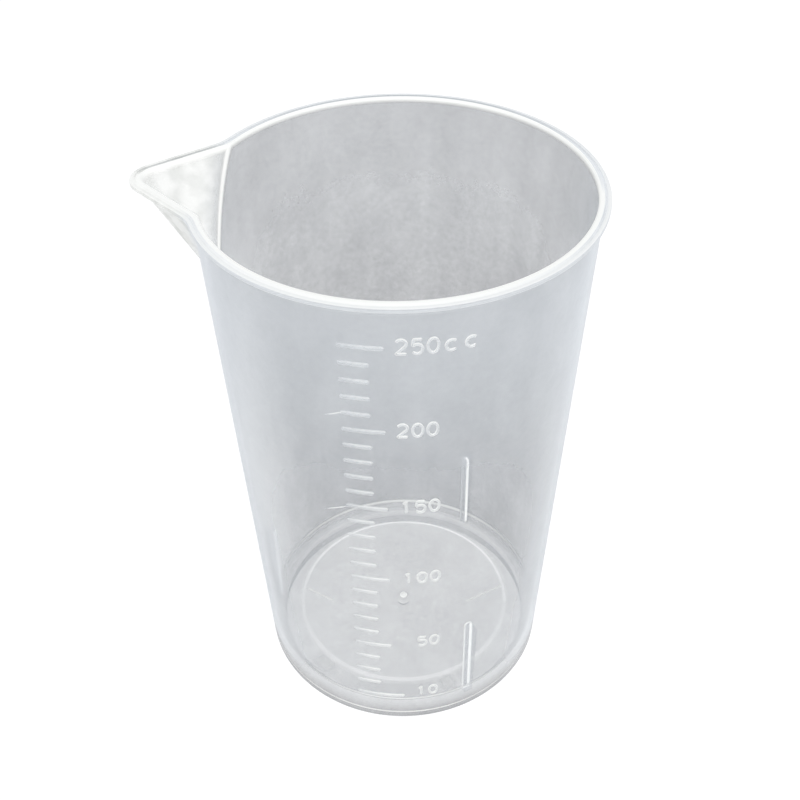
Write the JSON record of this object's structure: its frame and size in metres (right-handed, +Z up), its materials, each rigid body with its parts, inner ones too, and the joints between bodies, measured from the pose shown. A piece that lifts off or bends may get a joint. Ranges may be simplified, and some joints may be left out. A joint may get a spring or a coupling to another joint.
{
  "type": "mixing cup",
  "caption": "Tapered see-through mixing cup with a V-shaped pouring spout, a beaded rim, raised graduations and inner stacking ribs, standing on a foot ring.",
  "frame": {"origin": "centre of the foot ring, on the plane the cup stands on", "axes": "+Z up along the cup's axis; the spout points to -X; the graduations face -Y"},
  "size_m": [0.0773, 0.0674, 0.1045],
  "materials": {
    "natural_polypropylene": "uncoloured polypropylene, milky and see-through, smooth with a fine haze and light scratches"
  },
  "bodies": {
    "root": {"cup_wall": "natural_polypropylene", "rim_bead": "natural_polypropylene", "pouring_spout": "natural_polypropylene", "base_floor": "natural_polypropylene", "foot_ring": "natural_polypropylene", "gate_stub": "natural_polypropylene", "stacking_ribs": "natural_polypropylene", "graduation_lines": "natural_polypropylene"}
  },
  "joints": []
}
